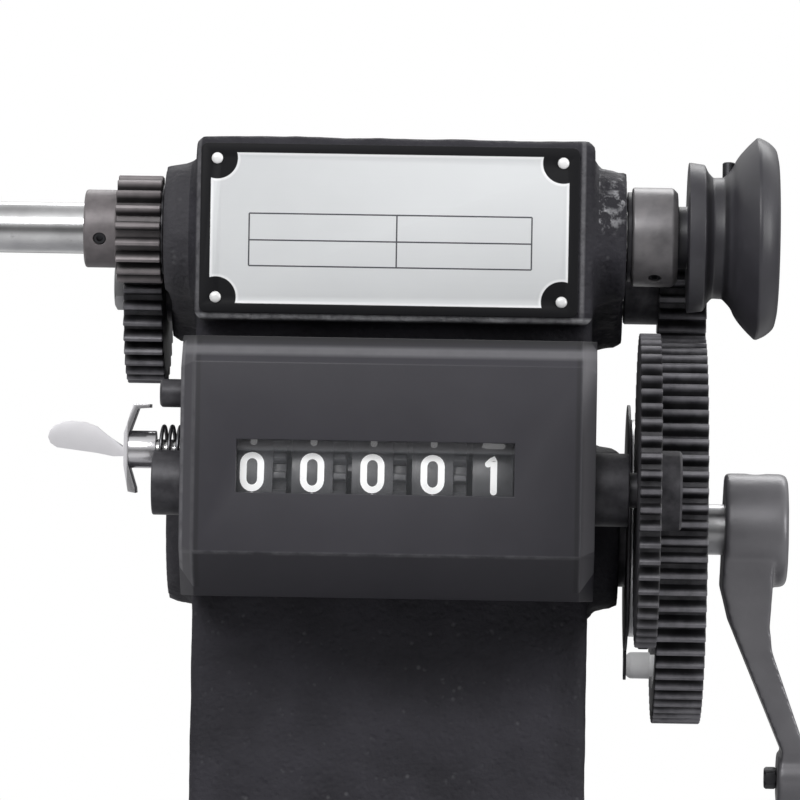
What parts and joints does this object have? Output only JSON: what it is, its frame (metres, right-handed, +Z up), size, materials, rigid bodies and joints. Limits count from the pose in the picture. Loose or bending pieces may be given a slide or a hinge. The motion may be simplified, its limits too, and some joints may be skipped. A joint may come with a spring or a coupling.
{
  "type": "hand coil winding machine",
  "caption": "Bench coil winder: cast stand, geared winding spindle with pulley and work cones, side crank and a digit-wheel turns counter.",
  "frame": {"origin": "centre of the foot's underside, the middle of its four bolt holes", "axes": "+X along the winding spindle towards the pulley and crank, -Y the front with the counter window, +Z up"},
  "size_m": [0.3705, 0.1567, 0.2078],
  "materials": {
    "casting_paint": "matt black wrinkle paint on grey iron",
    "cover_paint": "satin black stove enamel on pressed steel",
    "black_oxide": "oiled black oxide",
    "pulley_black": "polished black phenolic",
    "bright_steel": "ground bright steel",
    "zinc_steel": "zinc plated",
    "dark_screw": "blackened steel",
    "arm_paint": "dark grey satin paint",
    "grip_plastic": "moulded black plastic",
    "chrome_wing": "bright nickel plating",
    "bronze": "sintered bronze",
    "plate_metal": "satin aluminium with a black printed border",
    "wheel_plastic": "black with white figures",
    "white_plastic": "natural acetal",
    "window_clear": "clear acrylic sheet"
  },
  "bodies": {
    "stand": {"frame_casting": "casting_paint", "spindle_bearings": "bronze", "layshaft_bushes": "bronze", "crank_bushes": "bronze", "nameplate": "plate_metal", "nameplate_rivets": "zinc_steel", "counter_cover": "cover_paint", "counter_window": "window_clear", "counter_chassis": "zinc_steel", "counter_screws": "zinc_steel", "counter_bushes": "black_oxide", "counter_stop_pin": "black_oxide", "carry_shaft": "bright_steel", "reset_bush": "bronze", "reset_spring": "zinc_steel", "brake_spring": "zinc_steel", "brake_button": "zinc_steel", "brake_screws": "zinc_steel"},
    "winding_spindle": {"spindle": "bright_steel", "spindle_gear": "black_oxide", "spindle_gear_screw": "dark_screw", "spindle_washers": "black_oxide", "spindle_collar": "black_oxide", "spindle_collar_screw": "dark_screw", "drive_pulley": "pulley_black", "pulley_screw": "dark_screw", "cone_lock_nut": "bright_steel", "inner_cone": "bright_steel"},
    "clamp_cone": {"outer_cone": "bright_steel"},
    "clamp_nut": {"wing_nut": "zinc_steel"},
    "step_shaft": {"layshaft": "bright_steel", "layshaft_gear": "black_oxide", "layshaft_pinion": "black_oxide", "layshaft_nut": "zinc_steel"},
    "crank": {"crank_shaft": "bright_steel", "crank_gear": "black_oxide", "counter_drive_gear": "black_oxide", "crank_shaft_collar": "black_oxide", "crank_arm": "arm_paint", "crank_arm_screw": "dark_screw", "grip_bolt": "zinc_steel", "grip_nut": "dark_screw"},
    "grip": {"crank_grip": "grip_plastic"},
    "units_wheel": {"counter_shaft": "bright_steel", "counter_gear": "black_oxide", "counter_gear_screw": "dark_screw", "number_wheel_1": "wheel_plastic"},
    "wheel_2": {"number_wheel_2": "wheel_plastic"},
    "wheel_3": {"number_wheel_3": "wheel_plastic"},
    "wheel_4": {"number_wheel_4": "wheel_plastic"},
    "wheel_5": {"number_wheel_5": "wheel_plastic"},
    "carry_1": {"carry_pinion_1": "white_plastic"},
    "carry_2": {"carry_pinion_2": "white_plastic"},
    "carry_3": {"carry_pinion_3": "white_plastic"},
    "carry_4": {"carry_pinion_4": "white_plastic"},
    "zero_gear": {"reset_gear": "white_plastic"},
    "zero_wing": {"reset_shaft": "bright_steel", "reset_pinion": "white_plastic", "reset_wing": "chrome_wing"}
  },
  "joints": [
    {"name": "crank_turn", "type": "hinge", "parent": "stand", "child": "crank", "pos_m": [0, 0, 0.116], "axis": [1, 0, 0], "continuous": true},
    {"name": "step_shaft_turn", "type": "hinge", "parent": "stand", "child": "step_shaft", "pos_m": [0, 0, 0.1723], "axis": [1, 0, 0], "continuous": true},
    {"name": "spindle_turn", "type": "hinge", "parent": "stand", "child": "winding_spindle", "pos_m": [0, -0.0316, 0.1843], "axis": [1, 0, 0], "continuous": true},
    {"name": "units_turn", "type": "hinge", "parent": "stand", "child": "units_wheel", "pos_m": [0, -0.06111, 0.126], "axis": [1, 0, 0], "continuous": true},
    {"name": "wheel_2_turn", "type": "hinge", "parent": "stand", "child": "wheel_2", "pos_m": [0, -0.06111, 0.126], "axis": [1, 0, 0], "continuous": true},
    {"name": "wheel_3_turn", "type": "hinge", "parent": "stand", "child": "wheel_3", "pos_m": [0, -0.06111, 0.126], "axis": [1, 0, 0], "continuous": true},
    {"name": "wheel_4_turn", "type": "hinge", "parent": "stand", "child": "wheel_4", "pos_m": [0, -0.06111, 0.126], "axis": [1, 0, 0], "continuous": true},
    {"name": "wheel_5_turn", "type": "hinge", "parent": "stand", "child": "wheel_5", "pos_m": [0, -0.06111, 0.126], "axis": [1, 0, 0], "continuous": true},
    {"name": "carry_1_turn", "type": "hinge", "parent": "stand", "child": "carry_1", "pos_m": [0, -0.05811, 0.14542], "axis": [1, 0, 0], "continuous": true},
    {"name": "carry_2_turn", "type": "hinge", "parent": "stand", "child": "carry_2", "pos_m": [0, -0.05811, 0.14542], "axis": [1, 0, 0], "continuous": true},
    {"name": "carry_3_turn", "type": "hinge", "parent": "stand", "child": "carry_3", "pos_m": [0, -0.05811, 0.14542], "axis": [1, 0, 0], "continuous": true},
    {"name": "carry_4_turn", "type": "hinge", "parent": "stand", "child": "carry_4", "pos_m": [0, -0.05811, 0.14542], "axis": [1, 0, 0], "continuous": true},
    {"name": "zero_wing_turn", "type": "hinge", "parent": "stand", "child": "zero_wing", "pos_m": [-0.06, -0.04864, 0.1333], "axis": [1, 0, 0], "continuous": true},
    {"name": "zero_gear_turn", "type": "hinge", "parent": "stand", "child": "zero_gear", "pos_m": [-0.04, -0.06111, 0.126], "axis": [1, 0, 0], "continuous": true},
    {"name": "grip_turn", "type": "hinge", "parent": "crank", "child": "grip", "pos_m": [0.132, 0, 0.0572], "axis": [1, 0, 0], "continuous": true},
    {"name": "clamp_slide", "type": "slide", "parent": "winding_spindle", "child": "clamp_cone", "axis": [1, 0, 0], "range_m": [-0.01, 0.02]},
    {"name": "clamp_nut_turn", "type": "hinge", "parent": "clamp_cone", "child": "clamp_nut", "pos_m": [-0.19, -0.0316, 0.1843], "axis": [1, 0, 0], "continuous": true}
  ],
  "couplings": [
    {"joint": "step_shaft_turn", "follows": "crank_turn", "ratio": -4},
    {"joint": "spindle_turn", "follows": "crank_turn", "ratio": 8},
    {"joint": "units_turn", "follows": "crank_turn", "ratio": -0.8},
    {"joint": "wheel_2_turn", "follows": "crank_turn", "ratio": -0.08},
    {"joint": "wheel_3_turn", "follows": "crank_turn", "ratio": -0.008},
    {"joint": "wheel_4_turn", "follows": "crank_turn", "ratio": -0.0008},
    {"joint": "wheel_5_turn", "follows": "crank_turn", "ratio": -0.00008},
    {"joint": "carry_1_turn", "follows": "crank_turn", "ratio": 0.2},
    {"joint": "carry_2_turn", "follows": "crank_turn", "ratio": 0.02},
    {"joint": "carry_3_turn", "follows": "crank_turn", "ratio": 0.002},
    {"joint": "carry_4_turn", "follows": "crank_turn", "ratio": 0.0002},
    {"joint": "zero_gear_turn", "follows": "zero_wing_turn", "ratio": -0.5}
  ]
}
